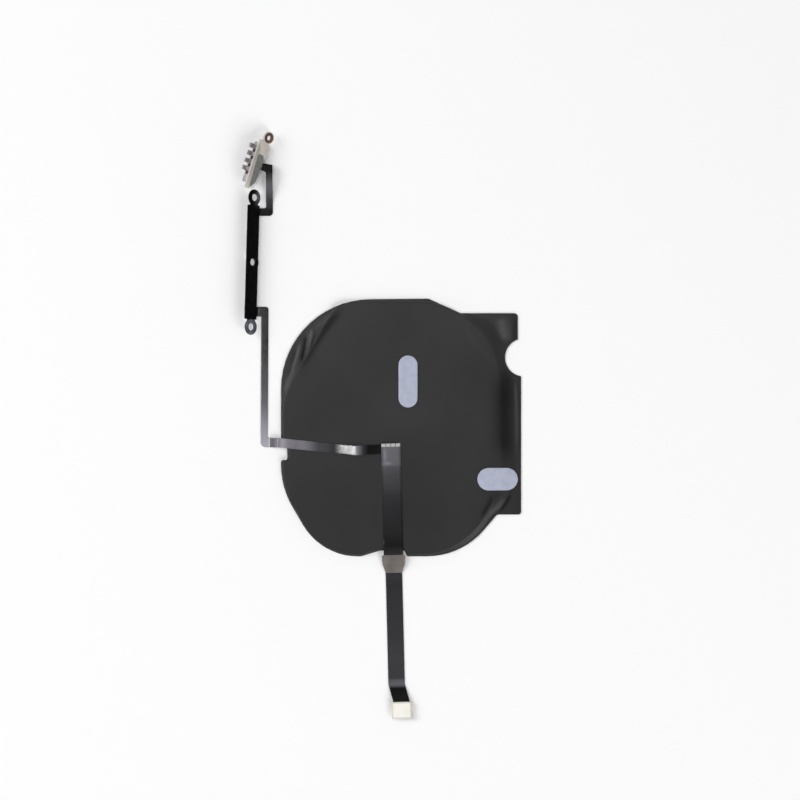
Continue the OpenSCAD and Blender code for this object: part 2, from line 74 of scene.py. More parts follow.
PICTURE_WIDTH = 160 * MM            # what the camera sees at the table
PICTURE_CENTRE = (0.8 * MM, 5.6 * MM)
LENS = 100
SENSOR = 36
SKY = [(0.0, 0.95), (0.25, 0.75), (0.5, 0.2), (1.0, 0.15)]    # height above the horizon, brightness
LAMPS = [                           # name, place, width and power
    ("key", (-0.27, 0.0, 1.0), 0.16, 1.8),
    ("left", (-1.0, 0.35, 0.75), 0.7, 9.8),
    ("right", (0.75, -0.8, 0.75), 0.7, 8.8)
]
FLOOR_HALF = 4.0
FLOOR_GAP = 0.02 * MM               # keeps the floor clear of the bonding face


def add_camera():
    """Straight above the table, looking down."""
    camera = bpy.data.objects.new("camera", bpy.data.cameras.new("camera"))
    bpy.context.scene.collection.objects.link(camera)
    camera.data.lens = LENS
    camera.data.sensor_width = SENSOR
    camera.data.clip_start = 0.01
    camera.location = (*PICTURE_CENTRE, PICTURE_WIDTH * LENS / SENSOR)
    bpy.context.scene.camera = camera
    bpy.context.scene.view_settings.view_transform = "Standard"


def add_area_light(name, place, width, power):
    """A square light that faces the origin."""
    light = bpy.data.lights.new(name, "AREA")
    light.shape = "SQUARE"
    light.size = width
    light.energy = power
    lamp = bpy.data.objects.new(name, light)
    bpy.context.scene.collection.objects.link(lamp)
    lamp.location = place
    lamp.rotation_mode = "QUATERNION"
    lamp.rotation_quaternion = Vector(place).to_track_quat("Z", "Y")


def add_studio_light():
    """A dim sky with a pale horizon, a small key light almost overhead and two wide side lights."""
    world = bpy.data.worlds.new("studio")
    bpy.context.scene.world = world
    world.use_nodes = True
    tree = world.node_tree
    background = tree.nodes["Background"]
    place = tree.nodes.new("ShaderNodeTexCoord")
    split = tree.nodes.new("ShaderNodeSeparateXYZ")
    ramp = tree.nodes.new("ShaderNodeValToRGB")
    tree.links.new(place.outputs["Generated"], split.inputs[0])
    tree.links.new(split.outputs["Z"], ramp.inputs[0])
    tree.links.new(ramp.outputs[0], background.inputs["Color"])
    ramp.color_ramp.interpolation = "EASE"
    while len(ramp.color_ramp.elements) < len(SKY):
        ramp.color_ramp.elements.new(0.5)
    for element, (height, level) in zip(ramp.color_ramp.elements, SKY):
        element.position = height
        element.color = (level, level, level, 1)
    for lamp in LAMPS:
        add_area_light(*lamp)


def add_floor():
    """A wide pale floor just below the bonding face."""
    corners = [(x * FLOOR_HALF, y * FLOOR_HALF, 0) for x, y in ((-1, -1), (1, -1), (1, 1), (-1, 1))]
    mesh = bpy.data.meshes.new("floor")
    mesh.from_pydata(corners, [], [(0, 1, 2, 3)])
    floor = bpy.data.objects.new("floor", mesh)
    bpy.context.scene.collection.objects.link(floor)
    floor.location.z = -FLOOR_GAP
    paint = bpy.data.materials.new("floor")
    paint.use_nodes = True
    shader = paint.node_tree.nodes["Principled BSDF"]
    shader.inputs["Base Color"].default_value = (0.97, 0.97, 0.97, 1)
    shader.inputs["Roughness"].default_value = 0.9
    shader.inputs["Specular IOR Level"].default_value = 0.1
    mesh.materials.append(paint)


# ---- Materials ----

FIRST_COLOR, SECOND_COLOR, MIXED_COLOR = 6, 7, 2    # sockets of a mix node that mixes colours
ROUGH_SCALE = 3.1                   # how much finer the pattern of roughness is than that of colour
SCRATCH_SCALE = 5200
SCRATCH_LENGTH = (0.06, 1, 1)       # the scratches' noise is drawn out along X


def material(name, color, second, mix_scale=120, rough=0.5, rough_spread=0.1, metal=0.0,
             grain=(6000, 0.004), coarse=None, stretch=(1, 1, 1), scratches=0.0, specular=0.5, toned=False):
    """A finish of two close colours in a noise pattern, with an uneven roughness, a fine grain and
    coarser unevenness. Scales are per metre and heights in millimetres. A toned finish is lighter or
    darker where the mesh says so, in its attribute called tone."""
    made = bpy.data.materials.new(name)
    made.use_nodes = True
    tree = made.node_tree
    new, link = tree.nodes.new, tree.links.new
    shader = tree.nodes["Principled BSDF"]
    shader.inputs["Metallic"].default_value = metal
    shader.inputs["Specular IOR Level"].default_value = specular
    place = new("ShaderNodeTexCoord")
    spread = new("ShaderNodeVectorMath")
    spread.operation = "MULTIPLY"
    spread.inputs[1].default_value = stretch
    link(place.outputs["Object"], spread.inputs[0])

    def pattern(scale, detail=2.0, source=spread):
        texture = new("ShaderNodeTexNoise")
        texture.inputs["Scale"].default_value = scale
        texture.inputs["Detail"].default_value = detail
        link(source.outputs[0], texture.inputs["Vector"])
        return texture.outputs[0]

    def ramp(value, low, high, start=0.35, end=0.65):
        node = new("ShaderNodeMapRange")
        node.inputs["From Min"].default_value = start
        node.inputs["From Max"].default_value = end
        node.inputs["To Min"].default_value = low
        node.inputs["To Max"].default_value = high
        link(value, node.inputs[0])
        return node.outputs[0]

    blend = new("ShaderNodeMix")
    blend.data_type = "RGBA"
    blend.inputs[FIRST_COLOR].default_value = (*color, 1)
    blend.inputs[SECOND_COLOR].default_value = (*second, 1)
    link(ramp(pattern(mix_scale, 3), 0, 1), blend.inputs[0])
    if toned:
        tone = new("ShaderNodeAttribute")
        tone.attribute_name = "tone"
        scaled = new("ShaderNodeVectorMath")
        scaled.operation = "SCALE"
        link(blend.outputs[MIXED_COLOR], scaled.inputs[0])
        link(tone.outputs["Fac"], scaled.inputs["Scale"])
        link(scaled.outputs[0], shader.inputs["Base Color"])
    else:
        link(blend.outputs[MIXED_COLOR], shader.inputs["Base Color"])
    uneven = pattern(mix_scale * ROUGH_SCALE, 3)
    link(ramp(uneven, rough - rough_spread, rough + rough_spread), shader.inputs["Roughness"])

    surface = None
    layers = [grain] + ([coarse] if coarse else [])
    for scale, height in layers:
        bump = new("ShaderNodeBump")
        bump.inputs["Strength"].default_value = 1.0
        bump.inputs["Distance"].default_value = height * MM
        link(pattern(scale), bump.inputs["Height"])
        if surface:
            link(surface, bump.inputs["Normal"])
        surface = bump.outputs[0]
    if scratches:
        line = new("ShaderNodeVectorMath")
        line.operation = "MULTIPLY"
        line.inputs[1].default_value = SCRATCH_LENGTH
        link(place.outputs["Object"], line.inputs[0])
        bump = new("ShaderNodeBump")
        bump.inputs["Distance"].default_value = scratches * MM
        link(ramp(pattern(SCRATCH_SCALE, 4, line), 0, 1, 0.62, 0.7), bump.inputs["Height"])
        link(surface, bump.inputs["Normal"])
        surface = bump.outputs[0]
    link(surface, shader.inputs["Normal"])
    return made


FINISHES = {
    "film_black": dict(
        color=(0.0235, 0.0235, 0.0238), second=(0.019, 0.019, 0.0193), mix_scale=70, rough=0.46,
        rough_spread=0.015, grain=(5200, 0.006), coarse=(420, 0.012), scratches=0.001, specular=0.28,
        toned=True
    ),
    "adhesive_clear": dict(
        color=(0.62, 0.62, 0.58), second=(0.5, 0.5, 0.47), mix_scale=300, rough=0.4
    ),
    "polyimide": dict(
        color=(0.05, 0.03, 0.012), second=(0.035, 0.02, 0.009), rough=0.35
    ),
    "copper": dict(
        color=(0.8, 0.36, 0.18), second=(0.62, 0.25, 0.12), metal=1, rough=0.35, stretch=(1, 1, 0.2)
    ),
    "ferrite": dict(
        color=(0.03, 0.03, 0.032), second=(0.045, 0.044, 0.043), mix_scale=900, rough=0.55
    ),
    "graphite": dict(
        color=(0.02, 0.02, 0.022), second=(0.035, 0.035, 0.036), metal=0.4, rough=0.45
    ),
    "foam": dict(
        color=(0.45, 0.475, 0.585), second=(0.4, 0.425, 0.53), mix_scale=900, rough=0.9,
        rough_spread=0.05, grain=(7000, 0.03), coarse=(2300, 0.02), specular=0.2
    ),
    "solder": dict(
        color=(0.5, 0.5, 0.49), second=(0.42, 0.42, 0.41), mix_scale=1500, metal=0.2, rough=0.5,
        grain=(3000, 0.002)
    ),
    "flex_main": dict(
        color=(0.1, 0.097, 0.109), second=(0.088, 0.085, 0.097), mix_scale=220, rough=0.42,
        grain=(9000, 0.0015), coarse=(500, 0.005), scratches=0.001, specular=0.15, toned=True
    ),
    "flex_branch": dict(
        color=(0.1, 0.096, 0.11), second=(0.088, 0.085, 0.097), mix_scale=220, rough=0.2,
        rough_spread=0.03, grain=(9000, 0.0005), coarse=(500, 0.001), toned=True
    ),
    "loop_black": dict(
        color=(0.1, 0.1, 0.108), second=(0.085, 0.085, 0.092), mix_scale=300, rough=0.36,
        grain=(9000, 0.0015), coarse=(600, 0.004), specular=0.15, toned=True
    ),
    "flex_black": dict(
        color=(0.005, 0.005, 0.006), second=(0.003, 0.003, 0.004), mix_scale=300, rough=0.45,
        grain=(9000, 0.002), coarse=(600, 0.005), specular=0.2
    ),
    "reinforcement": dict(
        color=(0.18, 0.155, 0.14), second=(0.12, 0.105, 0.098), mix_scale=420, rough=0.5,
        grain=(8000, 0.004)
    ),
    "plate_pale": dict(
        color=(0.93, 0.91, 0.85), second=(0.88, 0.85, 0.78), mix_scale=500, rough=0.45,
        grain=(8000, 0.002), toned=True
    ),
    "plastic_black": dict(
        color=(0.02, 0.02, 0.021), second=(0.014, 0.014, 0.015), rough=0.5, grain=(9000, 0.004)
    ),
    "gold_contact": dict(
        color=(0.83, 0.6, 0.26), second=(0.7, 0.48, 0.2), mix_scale=2000, metal=1, rough=0.28
    ),
    "steel_black": dict(
        color=(0.0014, 0.0014, 0.0018), second=(0.0035, 0.0035, 0.004), mix_scale=900, rough=0.5,
        grain=(5000, 0.008), coarse=(1400, 0.012), specular=0.02, toned=True
    ),
    "steel_bright": dict(
        color=(0.42, 0.4, 0.41), second=(0.3, 0.285, 0.295), mix_scale=700, metal=0.8, rough=0.36,
        grain=(4000, 0.004), stretch=(1, 0.15, 1)
    ),
    "steel_warm": dict(
        color=(0.56, 0.52, 0.47), second=(0.47, 0.435, 0.4), mix_scale=600, metal=0.6, rough=0.42,
        grain=(5000, 0.004), stretch=(1, 0.2, 1)
    ),
    "copper_eyelet": dict(
        color=(0.17, 0.085, 0.055), second=(0.06, 0.045, 0.05), mix_scale=700, metal=0.8, rough=0.4
    ),
    "stiffener_grey": dict(
        color=(0.155, 0.16, 0.15), second=(0.125, 0.13, 0.12), mix_scale=900, rough=0.5
    ),
    "chip": dict(
        color=(0.12, 0.09, 0.07), second=(0.08, 0.06, 0.05), mix_scale=2500, rough=0.5
    ),
    "slider_pale": dict(
        color=(0.5, 0.48, 0.45), second=(0.42, 0.4, 0.38), mix_scale=1200, rough=0.4,
        grain=(7000, 0.004)
    )
}
MATERIALS = {name: material(name, **look) for name, look in FINISHES.items()}


# ---- Reading the frame ----

PLACES_PER_METRE = 1e7    # CAD vertices in the same place on this raster are one
LOOKS_UP = 0.3            # least height of the unit normal of a face that counts as looking up
LOOKS_WELL_UP = 0.5
SAME_LEVEL = 0.01


def joined_vertices(vertices, faces):
    """Vertices with equal places joined, so that neighbouring faces share their edges."""
    keys, order = {}, []
    for v in np.round(vertices * PLACES_PER_METRE).astype(int):
        order.append(keys.setdefault(tuple(v), len(keys)))
    points = np.array(list(keys), float) / PLACES_PER_METRE
    return points, [[order[i] for i in face] for face in faces]


def node_mesh(node, space=Matrix.Identity(4)):
    """Points, in millimetres in a local space, and faces of a CAD node."""
    mesh = frame["nodes"][node].data
    inverse = np.array(space.inverted())
    points = np.array([v.co for v in mesh.vertices], float) @ inverse[:3, :3].T + inverse[:3, 3]
    points, faces = joined_vertices(points, [list(p.vertices) for p in mesh.polygons])
    return points / MM, faces


def face_loops(node, space=Matrix.Identity(4), down=False, level=None):
    """Plan outlines, in millimetres, of the node's faces that look up, or down, with the outer one first.
    With a level, only the faces at that height count."""
    points, faces = node_mesh(node, space)
    sign = -1 if down else 1
    edges = {}
    for face in faces:
        a, b, c = (points[i] for i in face[:3])
        normal = np.cross(b - a, c - a)
        length = np.linalg.norm(normal)
        if length < 1e-12 or sign * normal[2] / length < LOOKS_UP:
            continue
        if level is not None and abs(points[face][:, 2].mean() - level) > SAME_LEVEL:
            continue
        for i, j in zip(face, face[1:] + face[:1]):
            if (j, i) in edges:
                del edges[(j, i)]
            else:
                edges[(i, j)] = True
    after = {}
    for i, j in edges:
        after.setdefault(i, []).append(j)
    loops = []
    while after:
        start = next(iter(after))
        loop = [start]
        while True:
            following = after[loop[-1]].pop()
            if not after[loop[-1]]:
                del after[loop[-1]]
            if following == start or following not in after:
                break
            loop.append(following)
        outline = points[loop][:, :2]
        if len(outline) > 2:
            loops.append(outline[::sign])
    loops.sort(key=lambda p: -abs(area(p)))
    return [tidy(p if (area(p) > 0) == (i == 0) else p[::-1]) for i, p in enumerate(loops)]


def area(loop):
    """Area of a loop, positive where it runs counterclockwise."""
    x, y = loop[:, 0], loop[:, 1]
    return 0.5 * float(np.sum(x * np.roll(y, -1) - np.roll(x, -1) * y))


def tidy(loop, gap=0.02):
    """The loop without points that nearly repeat their neighbour."""
    kept = [loop[0]]
    for p in loop[1:]:
        if np.linalg.norm(p - kept[-1]) > gap:
            kept.append(p)
    if np.linalg.norm(kept[0] - kept[-1]) < gap:
        kept.pop()
    return np.array(kept)


def profile(node, axis, space=Matrix.Identity(4), spread=0.5):
    """Height of the node's upward faces as a function of one coordinate, evened out over a spread."""
    points, faces = node_mesh(node, space)
    tops = {}
    for face in faces:
        a, b, c = (points[i] for i in face[:3])
        normal = np.cross(b - a, c - a)
        if normal[2] > LOOKS_WELL_UP * np.linalg.norm(normal):
            for p in points[face]:
                place = round(p[axis], 2)
                tops[place] = max(tops.get(place, -math.inf), p[2])
    places = np.array(sorted(tops))
    heights = np.array([tops[place] for place in places])
    fine = np.linspace(places[0], places[-1], 800)
    level = np.interp(fine, places, heights)
    width = max(3, int(spread / (fine[1] - fine[0])) | 1)
    padded = np.pad(level, width // 2, mode="edge")
    level = np.convolve(padded, np.ones(width) / width, "valid")
    return lambda q: np.interp(q, fine, level)


def local_space(origin, forward):
    """Matrix of a local frame at origin, in metres, with Z up and Y forward."""
    y = Vector((*forward, 0)).normalized()
    x = Vector((y.y, -y.x, 0))
    return Matrix((
        (x.x, y.x, 0, origin[0]), (x.y, y.y, 0, origin[1]), (0, 0, 1, origin[2]), (0, 0, 0, 1)
    ))


def tilted_space(origin, normal, forward):
    """Matrix of a local frame at origin, in metres, with Z along normal and Y as near forward as can be."""
    z = Vector(normal).normalized()
    y = (Vector(forward) - Vector(forward).dot(z) * z).normalized()
    x = y.cross(z)
    return Matrix((
        (x.x, y.x, z.x, origin[0]), (x.y, y.y, z.y, origin[1]), (x.z, y.z, z.z, origin[2]), (0, 0, 0, 1)
    ))


# ---- Mesh building ----

ROW_HEIGHT = 0.866                  # of a triangular grid with a step of 1
RIM_TURNS = (0.25, 0.5, 0.75)       # places of a rim's points on its half circle
SHARP = math.radians(50)            # an edge that turns by more than this isn't shaded smooth


def distance(points, loops):
    """Distance from each point to the nearest edge of the loops."""
    best = np.full(len(points), 1e9)
    for loop in loops:
        a, b = loop, np.roll(loop, -1, axis=0)
        d = b - a
        square = np.maximum((d * d).sum(1), 1e-12)
        for chunk in range(0, len(points), 4000):
            p = points[chunk:chunk + 4000, None, :]
            t = np.clip(((p - a) * d).sum(2) / square, 0, 1)
            gap = p - (a + t[..., None] * d)
            near = np.sqrt((gap * gap).sum(2)).min(1)
            best[chunk:chunk + 4000] = np.minimum(best[chunk:chunk + 4000], near)
    return best


def inside(points, loops):
    """True for points inside an odd number of loops."""
    odd = np.zeros(len(points), bool)
    x, y = points[:, 0], points[:, 1]
    for loop in loops:
        for a, b in zip(loop, np.roll(loop, -1, axis=0)):
            if a[1] == b[1]:
                continue
            crosses = (a[1] > y) != (b[1] > y)
            odd ^= crosses & (x < a[0] + (y - a[1]) / (b[1] - a[1]) * (b[0] - a[0]))
    return odd


def refine(loop, step):
    """The loop with points added so that no edge is longer than step."""
    out = []
    for a, b in zip(loop, np.roll(loop, -1, axis=0)):
        n = max(1, int(math.ceil(np.linalg.norm(b - a) / step)))
        out += [a + (b - a) * i / n for i in range(n)]
    return np.array(out)


def inset(loop, depth):
    """The loop moved into the material, which is on its left."""
    before, after = np.roll(loop, 1, axis=0), np.roll(loop, -1, axis=0)
    u = loop - before
    v = after - loop
    u = u / np.maximum(np.linalg.norm(u, axis=1), 1e-9)[:, None]
    v = v / np.maximum(np.linalg.norm(v, axis=1), 1e-9)[:, None]
    left_u = np.stack([-u[:, 1], u[:, 0]], 1)
    left_v = np.stack([-v[:, 1], v[:, 0]], 1)
    mid = left_u + left_v
    return loop + depth * mid / np.maximum((mid * left_u).sum(1), 0.35)[:, None]


def grid(loops, step, keep_off):
    """Points of a triangular grid inside the loops, at least keep_off away from them."""
    low, high = loops[0].min(0), loops[0].max(0)
    x = np.arange(low[0], high[0], step)
    rows = []
    for i, y in enumerate(np.arange(low[1], high[1], step * ROW_HEIGHT)):
        rows.append(np.column_stack([x + (i % 2) * step / 2, np.full(len(x), y)]))
    points = np.concatenate(rows)
    points = points[inside(points, loops)]
    return points[distance(points, loops) > keep_off]


def band(points, loops, low, high):
    """The points whose distance outside the loops is between low and high; inside counts as negative."""
    off = distance(points, loops) * np.where(inside(points, loops), -1, 1)
    return points[(off > low) & (off <= high)]


def plate(name, loops, surface, step, edge=0.03, points=None, space=Matrix.Identity(4)):
    """A thin closed piece with a rounded rim, where surface(points) gives its upper and lower heights.
    The loops are its plan in millimetres, the outer one counterclockwise and holes clockwise."""
    filling = grid(loops, step, edge + step * 0.5) if points is None else points
    loops = [refine(loop, step) for loop in loops]
    rings = [inset(loop, edge) for loop in loops]
    flat = np.concatenate(rings + [filling])
    constraints, start = [], 0
    for ring in rings:
        n = len(ring)
        constraints += [(start + i, start + (i + 1) % n) for i in range(n)]
        start += n
    flat_out, _, triangles, _, _, _ = delaunay_2d_cdt([Vector(p) for p in flat], constraints, [], 0, 1e-7)
    flat_out = np.array([tuple(p) for p in flat_out])
    triangles = np.array([t for t in triangles if len(t) == 3])
    middle = flat_out[triangles].mean(1)
    triangles = triangles[inside(middle, rings)]
    n = len(flat_out)
    assert n == len(flat), name
    high, low = surface(flat_out)
    vertices = [np.column_stack([flat_out, high]), np.column_stack([flat_out, low])]
    faces = [tuple(t) for t in triangles] + [tuple(n + t[::-1]) for t in triangles]
    count, start = 2 * n, 0
    for loop, ring in zip(loops, rings):
        m = len(loop)
        previous = np.arange(start, start + m)
        last = n + previous
        for turn in RIM_TURNS:
            angle = math.pi * turn
            side = ring + (loop - ring) * math.sin(angle)
            share = 0.5 + 0.5 * math.cos(angle)
            z = low[start:start + m] + (high[start:start + m] - low[start:start + m]) * share
            vertices.append(np.column_stack([side, z]))
            current = np.arange(count, count + m)
            count += m
            faces += quads(previous, current)
            previous = current
        faces += quads(previous, last)
        start += m
    return piece(name, np.concatenate(vertices), faces, space)


def quads(upper, lower):
    """Faces between two rings of vertices."""
    m = len(upper)
    return [(upper[i], lower[i], lower[(i + 1) % m], upper[(i + 1) % m]) for i in range(m)]


def piece(name, vertices, faces, space=Matrix.Identity(4)):
    """An object from points in millimetres in a local space."""
    matrix = np.array(space)
    world = (np.asarray(vertices, float) * MM) @ matrix[:3, :3].T + matrix[:3, 3]
    mesh = bpy.data.meshes.new(name)
    mesh.from_pydata([tuple(v) for v in world], [], [tuple(int(i) for i in f) for f in faces])
    mesh.validate()
    mesh.update()
    mesh.polygons.foreach_set("use_smooth", [True] * len(mesh.polygons))
    mesh.set_sharp_from_angle(angle=SHARP)
    made = bpy.data.objects.new(name, mesh)
    bpy.context.scene.collection.objects.link(made)
    return made


def dress(made, slot, *nodes, finish=None):
    """Gives a piece its finish, or one other than its slot's, and hides the CAD nodes it stands for."""
    made.data.materials.clear()
    made.data.materials.append(MATERIALS[finish or slot])
    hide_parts(*nodes)


def shade(made, tone, space=Matrix.Identity(4)):
    """Stores how light the finish is at each vertex, from its place in millimetres in a local space."""
    inverse = np.array(space.inverted())
    places = np.array([v.co for v in made.data.vertices]) @ inverse[:3, :3].T + inverse[:3, 3]
    layer = made.data.attributes.new("tone", "FLOAT", "POINT")
    layer.data.foreach_set("value", np.maximum(tone(places / MM), 0).astype(np.float32))


def along(stops):
    """A function through (place, value) stops, for one coordinate."""
    places, values = zip(*sorted(stops))
    return lambda q: np.interp(q, places, values)


def spot(places, x, y, size_x, size_y):
    """1 at a place in plan, fading to 0 round it."""
    return np.exp(-((places[:, 0] - x) / size_x) ** 2 - ((places[:, 1] - y) / size_y) ** 2)


def smooth(t):
    """Rises softly from 0 to 1 as t does, and is level beyond."""
    t = np.clip(t, 0, 1)
    return t * t * (3 - 2 * t)


def ripple(points, size, seed=0.0):
    """Smooth noise between about -1 and 1, with features of about that size in millimetres."""
    return np.array([noise.noise((x / size, y / size, seed)) for x, y in points[:, :2]])


# ---- Cover film ----

FILM_LOOPS = face_loops("coil_base_film", down=True)
STACK_LOOPS = face_loops("graphite_sheet", down=True)
STACK_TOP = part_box("graphite_sheet")[1].z / MM + FILM_T
RIM_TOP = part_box("coil_base_film")[1].z / MM + FILM_T


def crease(points, ends, width, height):
    """A soft ridge, or a furrow where height is negative, along a bowed line between two ends."""
    (x0, y0), (x1, y1), bow = ends
    way = np.array([x1 - x0, y1 - y0])
    length = np.linalg.norm(way)
    way = way / length
    across = np.array([-way[1], way[0]])
    from_end = points - np.array([x0, y0])
    t = (from_end @ way) / length
    off = from_end @ across - bow * (1 - (2 * t - 1) ** 2)
    fade = smooth(t / 0.3) * smooth((1 - t) / 0.3)
    return height * fade * np.exp(-(off / width) ** 2)


# Folds of the film where it bridges from the stack to its free edge: ends and bow, width, height
# The heights also set the film's painted shade in its furrows and painted highlight on its ridges.
CREASES = [
    (((-10.0, 24.6), (-19.6, 10.6), -0.8), 0.75, -0.27),
    (((-16.6, 20.6), (-17.5, 15.0), 0.2), 0.25, 0.15),
    (((-17.8, 19.2), (-18.9, 13.0), 0.2), 0.4, -0.24),
    (((-18.8, 17.8), (-21.1, 11.0), 0.3), 0.3, 0.13),
    (((-20.0, 16.6), (-21.9, 9.4), 0.3), 0.35, -0.14),
    (((13.2, 22.6), (21.4, 12.4), -1.6), 0.5, 0.03),
    (((21.8, 13.2), (21.9, -8.2), -0.4), 2.0, -0.17),
    (((23.9, 11.0), (24.3, -6.5), 0.3), 0.35, 0.13),
    (((24.5, 10.0), (24.6, -7.0), 0.1), 0.3, -0.09),
    (((19.4, -12.8), (16.6, -18.2), 0.3), 0.4, -0.16),
    (((23.2, -12.8), (20.4, -17.0), 0.2), 0.4, -0.16),
    (((21.4, -12.8), (18.6, -17.6), 0.3), 0.5, 0.07),
    (((21.4, 22.9), (22.4, 16.8), 0.0), 1.1, 0.22),
    (((24.0, 22.8), (23.6, 16.8), 0.0), 0.35, -0.12),
]

# Marks of the film on the stack, pressed down beside the main circuit and lifted by its other edge
SEAMS = [
    (((-3.35, -7.0), (-3.75, -24.4), 0.0), 0.35, -0.025),
    (((1.3, -8.0), (0.95, -24.4), 0.0), 0.3, 0.02),
    (((4.0, -20.0), (8.5, -25.2), 0.5), 0.8, -0.02),
]


WAVES = [(0.014, 9.0, 3.3), (0.006, 3.5, 7.1)]    # height, size and seed of the film's unevenness
DRAPE_START = 0.06                  # the film stays level this far past the stack's edge
DRAPE_SHARE = 0.78                  # share of the gap to its own edge over which it then comes down
DRAPE_RANGE = (0.42, 3.0)           # least and greatest length of that slope
PATCHES = (0.3, 14.0, 4.4)          # strength, size and seed of its lighter and darker patches
MEAN_TONE = 0.98
TONE_PER_Y = 0.006                  # lighter upwards, for each millimetre
CREASE_PAINTED_SHADE = 6                  # painted highlight and shade: how much lighter a ridge, or darker a furrow, is for each millimetre of its height
TONE_RANGE = (0.05, 2.2)


def film_height(points):
    """Height of the film's upper side: level on the stack, then falling to the base film round it."""
    off_stack = distance(points, STACK_LOOPS[:1]) * np.where(inside(points, STACK_LOOPS[:1]), -1, 1)
    to_edge = distance(points, FILM_LOOPS[:1])
    room = np.maximum(off_stack, 0) + to_edge
    reach = np.clip(DRAPE_SHARE * room, *DRAPE_RANGE)
    fall = smooth((off_stack - DRAPE_START) / reach)
    wave = sum(high * (1 + ripple(points, size, seed)) for high, size, seed in WAVES)
    height = STACK_TOP + wave - (STACK_TOP - RIM_TOP) * fall
    free = smooth((off_stack - 0.1) / 0.8) * smooth(to_edge / 0.5)
    for ends, width, amount in CREASES:
        height = height + crease(points, ends, width, amount) * free
    for ends, width, amount in SEAMS:
        height = height + crease(points, ends, width, amount) * (1 - free)
    return np.maximum(height, RIM_TOP)


def film_tone_and_painted_shade(places):
    """Uneven at random and lighter upwards, with painted shade in furrows and painted highlights on ridges."""
    strength, size, seed = PATCHES
    tone = MEAN_TONE + strength * ripple(places, size, seed) + TONE_PER_Y * places[:, 1]
    for ends, width, amount in CREASES:
        tone = tone + crease(places[:, :2], ends, width, CREASE_PAINTED_SHADE * amount)
    return np.clip(tone, *TONE_RANGE)


# The film's mesh is finest where the film falls from the stack: spacing of the points, how far they
# keep off the outline, and the bands they fill, as distances outside the stack's edge
FILM_GRIDS = [
    (0.6, 0.3, [(-math.inf, -0.5)]),
    (0.3, 0.2, [(-0.5, -0.2), (0.9, math.inf)]),
    (0.15, 0.12, [(-0.2, 0.9)])
]
RIM_WIDTH = 0.05                    # width of the edge that closes down on the base film


def make_cover_film():
    """The black film draped over the stack, with its flap, its folds and the stack's window."""
    loops = FILM_LOOPS[:1] + STACK_LOOPS[1:]
    points = []
    for step, keep_off, bands in FILM_GRIDS:
        spread = grid(loops, step, keep_off)
        points += [band(spread, STACK_LOOPS[:1], low, high) for low, high in bands]

    def surface(points):
        height = film_height(points)
        at_edge = distance(points, FILM_LOOPS[:1]) < RIM_WIDTH
        return height, np.where(at_edge, RIM_TOP, height) - FILM_T

    film = plate("draped_cover_film", loops, surface, 0.3, 0.025, np.concatenate(points))
    shade(film, film_tone_and_painted_shade)
    dress(film, "film_black", "cover_film")
    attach(film, "coil_module")


PAD_STEPS = 24                      # steps of a pad's round end
PAD_CROWN = 0.45                    # how far in from its edge a pad reaches its full height
PAD_EDGE = 0.8                      # height of its edge, as a share of the full height
FOAM_GRAIN = (0.012, 0.5, 2.2)      # height, size and seed of the foam's bumps


def make_foam_pad(name, node):
    """A pill of foam, slightly crowned, that follows the film below it."""
    low, high = (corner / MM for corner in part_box(node))
    size = high - low
    radius = min(size.x, size.y) / 2
    start, end = Vector((low.x + radius, low.y + radius)), Vector((high.x - radius, high.y - radius))
    way = (end - start).normalized()
    turn = math.atan2(way.y, way.x)
    half_turn = [math.pi * i / PAD_STEPS for i in range(PAD_STEPS + 1)]
    loop = []
    for centre, first in ((end, turn - math.pi / 2), (start, turn + math.pi / 2)):
        loop += [(centre.x + radius * math.cos(angle + first), centre.y + radius * math.sin(angle + first))
                 for angle in half_turn]
    loop = np.array(loop)

    def surface(points):
        border = smooth(distance(points, [loop]) / PAD_CROWN)
        below = film_height(points)
        bump, bump_size, seed = FOAM_GRAIN
        height = size.z * (PAD_EDGE + (1 - PAD_EDGE) * border) + bump * ripple(points, bump_size, seed)
        return below + height, below

    pad = plate(name, [tidy(loop)], surface, 0.16, 0.07)
    dress(pad, "foam", node)
    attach(pad, "coil_module")


# ---- Flexible circuits ----

def trace_relief(points, loops, pitch=0.3, height=0.007, margin=0.22):
    """Raised copper lines that run alongside the circuit's edges under its coverlay."""
    depth = distance(points, loops) - margin
    return height * smooth(depth / 0.06) * (0.5 - 0.5 * np.cos(2 * math.pi * depth / pitch))


def opened(loop, marked):
    """The loop as a line from the last to the first of its marked points, which follow each other."""
    last = int(np.argmax(marked & ~np.roll(marked, -1)))
    loop, marked = np.roll(loop, -last, axis=0), np.roll(marked, -last)
    return loop[:2 + int(np.argmax(marked[1:]))]


TAIL_JOINT = JOINTS["tail_fold"]
TAIL = local_space((*TAIL_JOINT["pos_m"][:2], 0), (TAIL_JOINT["axis"][1], -TAIL_JOINT["axis"][0]))
END_REACH = 0.3                     # outline points this near the cut between two lengths lie on it
ROOT_END = -0.4                     # the tail keeps its root's width down to this place
TAIL_START = -2.4                   # and its own outline counts from this place down

# Painted sheen along the main circuit's tail, from its connector to its pads, and a painted bend highlight
MAIN_PAINTED_SHEEN = along([
    (-30.5, 0.0), (-28.5, 0.02), (-27.0, 0.02), (-26.7, 0.7), (-26.3, 1.15), (-25.5, 0.9), (-25.1, 0.4),
    (-21, 0.42), (-17, 0.33), (-11, 0.28), (-6.5, 0.22), (-4.5, 0.3), (-2, 0.4), (1.5, 0.02), (4, 0.1),
    (9, 0.18), (11.5, 0.25), (13, 0.38), (15.6, 0.55), (17.2, 0.75), (17.6, 1.15), (19, 1.2), (21.9, 1.35)
])


